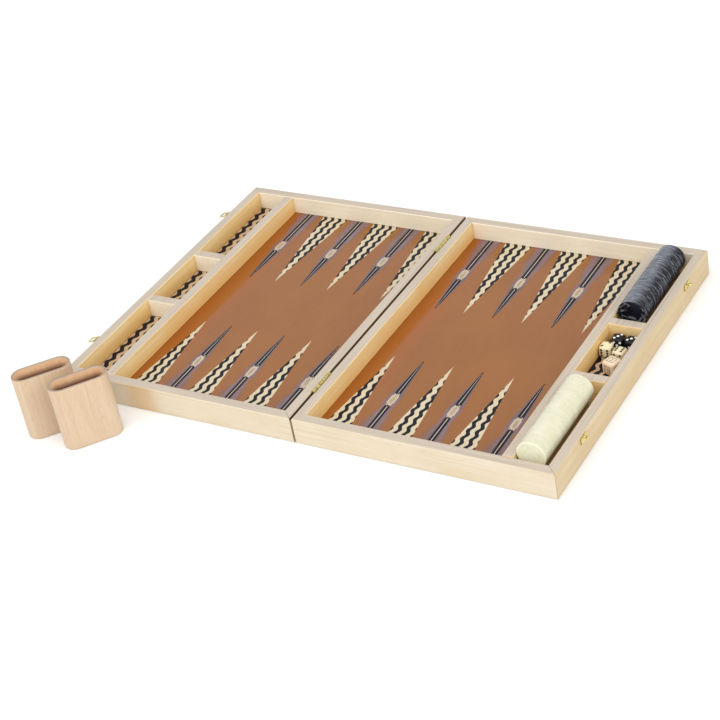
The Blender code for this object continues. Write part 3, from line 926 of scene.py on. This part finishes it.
def make_doubling_cube(turn, looks):
    """A rounded cube with a numeral in a square outline on every side."""
    node = "doubling_cube"
    body = "loose_doubling_cube"
    low, high = corners_of(node)
    size = high.z - low.z
    centre = (low + high) / 2
    place = Matrix.Translation(centre) @ Matrix.Rotation(math.radians(turn), 4, "Z")
    mesh = rounded_cube(size, 0.18, 4)
    mesh.transform(place)
    shade_round(mesh, 30)
    cube = new_object("numbered_doubling_cube", mesh, body, "cube_plastic", looks["cube"])
    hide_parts(node)
    ink = 0.03 * MM
    form = bmesh.new()
    for value, (outward, across, up) in zip(("8", "32", "64", "16", "2", "4"), face_frames()):
        side = Matrix((across, up, outward)).transposed().to_4x4()
        if side.determinant() < 0:
            side = Matrix((-across, up, outward)).transposed().to_4x4()
        lift = Matrix.Translation(outward * (size / 2 + 0.01 * MM))
        numeral = numeral_mesh(value, 0.40 * size, ink)
        outline = square_frame_mesh(0.52 * size, 0.6 * MM, ink)
        for mark in (numeral, outline):
            mark.transform(place @ lift @ side)
            form.from_mesh(mark)
    bmesh.ops.remove_doubles(form, verts=form.verts, dist=WELD)
    numerals = to_mesh("doubling_cube_numerals", form)
    new_object("doubling_cube_numerals", numerals, body, "cube_plastic", looks["black_paint"])


def flat_oval(inset, height):
    """A level loop round the cup, inset from its outside."""
    steps = 28
    radius = CUP_WIDTH / 2 - inset
    straight = (CUP_LENGTH - CUP_WIDTH) / 2
    points = arc((straight, 0), radius, -90, 90, steps)
    points += arc((-straight, 0), radius, 90, 270, steps)
    return [(x, y, height) for x, y in points]


def make_cup(place, looks):
    """A cup of flattened oval shape with rounded foot and rim, and a round-bottomed well."""
    node = f"dice_cup_{place}"
    low, high = corners_of(node)
    top = high.z - low.z
    soft = 1.2 * MM
    rim_steps = 5
    rim_arc = arc((0, top - soft), soft, 0, 90, rim_steps)
    outside = [(soft - r, h) for r, h in arc((0, soft), soft, -90, 0, 4)]
    outside += [(soft - r, h) for r, h in rim_arc]
    inside = [(CUP_WALL - soft + r, h) for r, h in reversed(rim_arc)]
    well_soft = 2.5 * MM
    well_arc = arc((0, CUP_BASE + well_soft), well_soft, 0, -90, 4)
    inside += [(CUP_WALL + well_soft - r, h) for r, h in well_arc]
    form = bmesh.new()
    rings = []
    for inset, height in outside + inside:
        rings.append([form.verts.new(point) for point in flat_oval(inset, height)])
    rim = len(outside) + rim_steps
    for index, (lower, upper) in enumerate(zip(rings, rings[1:])):
        join_rings(form, lower, upper, 0 if index < rim else 1)
    form.faces.new(rings[0])
    form.faces.new(rings[-1]).material_index = 1
    mesh = to_mesh(f"turned_{node}", form)
    centre = Vector(((low.x + high.x) / 2, (low.y + high.y) / 2, low.z))
    mesh.transform(Matrix.Translation(centre) @ Matrix.Rotation(math.radians(CUP_TURN[place]), 4, "Z"))
    shade_round(mesh)
    materials = (looks["beech"], looks["beech_inside"])
    piece = new_object(f"turned_{node}", mesh, f"cup_{place}", "beech", *materials)
    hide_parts(node)


def screw_head(radius, height):
    """A low domed head with a straight slot, lying on Z = 0."""
    dome = [(0.8 * radius, 0.8 * height), (0.4 * radius, height)]
    profile = [(radius, 0.0), (radius, 0.3 * height), *dome]
    head = turned("screw_head", profile, 20)
    form = bmesh.new()
    scale = Matrix.Diagonal((2.4 * radius, 0.28 * radius, 1.2 * height, 1.0))
    bmesh.ops.create_cube(form, size=1.0, matrix=Matrix.Translation((0, 0, height)) @ scale)
    return carve(head, [to_mesh("slot_cutter", form)])


def make_screws(name, body, places, head_size, outward, looks):
    """Screw heads of one fitting, all facing one way."""
    aim = Vector(outward).to_track_quat("Z", "Y").to_matrix().to_4x4()
    form = bmesh.new()
    for index, place in enumerate(places):
        head = screw_head(*head_size)
        spin = Matrix.Rotation(0.7 + 1.9 * index, 4, "Z")
        head.transform(Matrix.Translation(place) @ aim @ spin)
        form.from_mesh(head)
    mesh = to_mesh(name, form)
    shade_round(mesh)
    new_object(name, mesh, body, "brass", looks["brass"])


def make_hinge_screws(place, half, side, looks):
    """Three screws through a leaf, their heads in the gap between the halves."""
    low, high = corners_of(f"hinge_{place}_{half}_leaf")
    middle = (low.y + high.y) / 2
    face = FOLD_X - side * LEAF_FACE
    spacing = 12 * MM
    drop = low.z + 3.6 * MM
    spots = [Vector((face, middle + step * spacing, drop)) for step in (-1, 0, 1)]
    name = f"hinge_{place}_{half}_screws"
    make_screws(name, f"{half}_half", spots, HINGE_SCREW, (side, 0, 0), looks)


def make_keeper_pins(place, looks):
    """Four pins at the sides of the keeper, since the latched tongue covers its middle."""
    low, high = corners_of(f"hasp_{place}_keeper")
    middle = (low.y + high.y) / 2
    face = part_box("base_outer_wall")[1][0] + HASP_FACE
    corners = [(side, rise) for side in (-5.75, 5.75) for rise in (1.4, 6.4)]
    spots = [Vector((face, middle + side * MM, low.z + rise * MM)) for side, rise in corners]
    make_screws(f"hasp_{place}_keeper_pins", "base_half", spots, KEEPER_PIN, (1, 0, 0), looks)


def make_plate_pins(place, looks):
    """Two pins through the hasp's fixed plate."""
    low, high = corners_of(f"hasp_{place}_plate")
    middle = (low.y + high.y) / 2
    face = LID_LEFT - HASP_FACE
    spots = [Vector((face, middle + side * 3.0 * MM, low.z + 2.3 * MM)) for side in (-1, 1)]
    make_screws(f"hasp_{place}_plate_pins", "lid_half", spots, PLATE_PIN, (-1, 0, 0), looks)


def make_fittings(looks):
    for place in ("front", "back"):
        make_hinge_screws(place, "base", -1, looks)
        make_hinge_screws(place, "lid", 1, looks)
        make_keeper_pins(place, looks)
        make_plate_pins(place, looks)


# ---------- materials on the carried-over nodes
def dress(node, material):
    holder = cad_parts[node]
    for slot in holder.material_slots:
        slot.material = material


PLANK_LOOKS = {
    "base_front_wall": "birch_front",
    "base_back_wall": "birch_back",
    "base_outer_wall": "birch_side",
    "base_hinge_wall": "birch_honey_bounce",
    "base_rack_partition": "birch_honey_bounce",
    "lid_front_wall": "birch_cup_shade",
    "lid_back_wall": "birch_back",
    "lid_outer_wall": "birch_honey_bounce",
    "lid_hinge_wall": "birch_gap_shade",
    "lid_rack_partition": "birch_rack",
}


def dress_case(looks):
    for node, look_name in PLANK_LOOKS.items():
        dress(node, looks[look_name])
    for half in ("base", "lid"):
        dress(f"{half}_floor_panel", looks["field"])
    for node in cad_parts:
        if node.startswith(("hinge_", "hasp_")):
            dress(node, looks["brass"])


# ---------- stage
def make_stage():
    form = bmesh.new()
    bmesh.ops.create_grid(form, x_segments=1, y_segments=1, size=12)
    floor_look = Look("studio_floor", roughness=0.9)
    floor_mesh = to_mesh("studio_floor", form)
    floor_mesh.materials.append(floor_look.finish((0.93, 0.93, 0.93)))
    floor = in_scene("studio_floor", floor_mesh)
    floor.location.z = -FLOOR_DROP


def add_area_light(name, azimuth, elevation, distance, size, power):
    light = bpy.data.lights.new(name, "AREA")
    light.energy = power
    light.shape = "SQUARE"
    light.size = size
    holder = in_scene(name, light)
    towards = bearing(azimuth, elevation)
    middle = Vector((-0.15, 0, 0))
    holder.location = middle + towards * distance
    holder.rotation_euler = towards.to_track_quat("Z", "Y").to_euler()


def make_lights():
    world = bpy.data.worlds.new("soft_studio")
    world.use_nodes = True
    sky = world.node_tree.nodes["Background"]
    sky.inputs["Color"].default_value = (1.0, 0.995, 0.985, 1.0)
    sky.inputs["Strength"].default_value = 0.85
    bpy.context.scene.world = world
    add_area_light("key", azimuth=-5, elevation=55, distance=2.8, size=3.0, power=42)
    add_area_light("side", azimuth=80, elevation=32, distance=3.0, size=2.5, power=25)
    bpy.context.scene.view_settings.view_transform = "Standard"


def make_camera():
    away = bearing(CAMERA_AZIMUTH, CAMERA_ELEVATION)
    level = Vector((0, 0, 1)).cross(away).normalized()
    upright = away.cross(level)
    aim = Matrix((level, upright, away)).transposed().to_4x4()
    roll = Matrix.Rotation(math.radians(CAMERA_ROLL), 4, "Z")
    camera = bpy.data.cameras.new("camera")
    camera.lens = CAMERA_LENS
    camera.sensor_width = CAMERA_SENSOR
    holder = in_scene("camera", camera)
    holder.matrix_world = Matrix.Translation(CAMERA_TARGET + away * CAMERA_DISTANCE) @ aim @ roll
    bpy.context.scene.camera = holder


def make_looks():
    """Every material by name; a plank's tints are pairs of pale and warm."""
    front = ((0.71, 0.635, 0.505), (0.645, 0.53, 0.365))
    side = ((0.605, 0.49, 0.30), (0.55, 0.405, 0.215))
    # bright is partly the wood's pale tint and partly painted light, lifting inner faces that the walls
    # around them keep in shade
    bright = ((0.95, 0.89, 0.75), (0.90, 0.79, 0.59))
    # honey is partly the wood's own tint and partly painted warm bounce light from the orange field on
    # the walls' inner faces; foot is the field's colour painted low on those faces as bounce light
    honey = ((0.91, 0.745, 0.43), (0.86, 0.59, 0.25))
    foot = (0.80, 0.47, 0.13)
    # the stretch of the lid's front wall where the cups' painted shadow falls
    cup_shade_stretch = (LID_LEFT + 78 * MM, LID_LEFT + 134 * MM)
    return {
        "birch_front": birch("birch_front", "X", *front),
        "birch_cup_shade": birch("birch_cup_shade", "X", *front, cup_shade=cup_shade_stretch),
        "birch_back": birch("birch_back", "X", *bright, plain=side, plain_ways=((1, 1),)),
        "birch_side": birch("birch_side", "Y", *side),
        "birch_gap_shade": birch("birch_gap_shade", "Y", *side, gap_shade=True),
        "birch_honey_bounce": birch("birch_honey_bounce", "Y", *honey, foot, plain=side, plain_ways=((0, -1),)),
        "birch_rack": birch("birch_rack", "Y", *honey, foot, plain=bright, plain_ways=((0, -1), (1, -1))),
        "field": field_panel(),
        "cream_print": printed("cream_print", (0.56, 0.46, 0.30), CREAM),
        # the rack floors' cream, darkened and warmed as painted shade
        "rack_print_shaded": printed("rack_print_shaded", (0.46, 0.31, 0.18), (0.60, 0.44, 0.28)),
        "ink_print": printed("ink_print", INK, (0.014, 0.013, 0.022), specular=0.15),
        "pale_print": printed("pale_strands", (0.52, 0.43, 0.31), CREAM),
        "slate_print": printed("slate_strands", (0.075, 0.072, 0.105), (0.135, 0.130, 0.180)),
        "core_print": printed("core_strands", (0.30, 0.20, 0.11), (0.42, 0.30, 0.17)),
        "haze": haze(),
        "brass": brass(),
        # each pearl's fourth shade is the tint of its painted sheen; the light pearl's end is a painted
        # highlight
        "dark": pearl(
            "dark_pearl",
            ((0.002, 0.002, 0.004), (0.004, 0.005, 0.010), (0.010, 0.013, 0.021), (0.25, 0.27, 0.32)),
            (0.50, 0.52, 0.60),
            squeeze=6,
            contrast=0.36,
            specular=0.16,
            coat=0.05,
        ),
        "light": pearl(
            "light_pearl",
            ((0.61, 0.60, 0.42), (0.64, 0.62, 0.46), (0.67, 0.66, 0.51), (0.68, 0.67, 0.53)),
            (0.57, 0.54, 0.36),
            squeeze=1,
            contrast=0.30,
            specular=0.5,
            coat=0.3,
            end=(0.86, 0.85, 0.66),
        ),
        "black": plastic("black_plastic", (0.004, 0.004, 0.007), (0.009, 0.009, 0.014), 0.13, gloss=0.35),
        "cream": plastic("cream_plastic", (0.80, 0.71, 0.48), (0.74, 0.62, 0.36), 0.25),
        "cube": plastic("cube_plastic", (0.83, 0.66, 0.49), (0.77, 0.57, 0.38), 0.33),
        "white_paint": plastic("white_paint", (0.86, 0.86, 0.84), (0.76, 0.76, 0.74), 0.35),
        "black_paint": plastic("black_paint", (0.012, 0.012, 0.014), (0.030, 0.026, 0.026), 0.35),
        "beech": beech(),
        "beech_inside": beech_inside(),
    }


def main():
    make_camera()
    make_stage()
    make_lights()
    looks = make_looks()
    dress_case(looks)
    for name in ("base", "lid"):
        half = Half(name)
        make_zigzag_points(half, looks)
        make_haze(half, looks)
        make_ikat_points(half, looks)
        make_rack_floors(half, looks)
    make_checkers(looks)
    make_die("die_black_left", (1, 6, 2, 5, 3, 4), 8.0, looks)
    make_die("die_black_right", (5, 2, 6, 1, 3, 4), -4.0, looks)
    make_die("die_cream_left", (4, 3, 1, 6, 2, 5), 3.0, looks)
    make_die("die_cream_right", (3, 4, 2, 5, 6, 1), -5.0, looks)
    make_doubling_cube(-20.0, looks)
    for place in ("back", "front"):
        make_cup(place, looks)
    make_fittings(looks)


main()
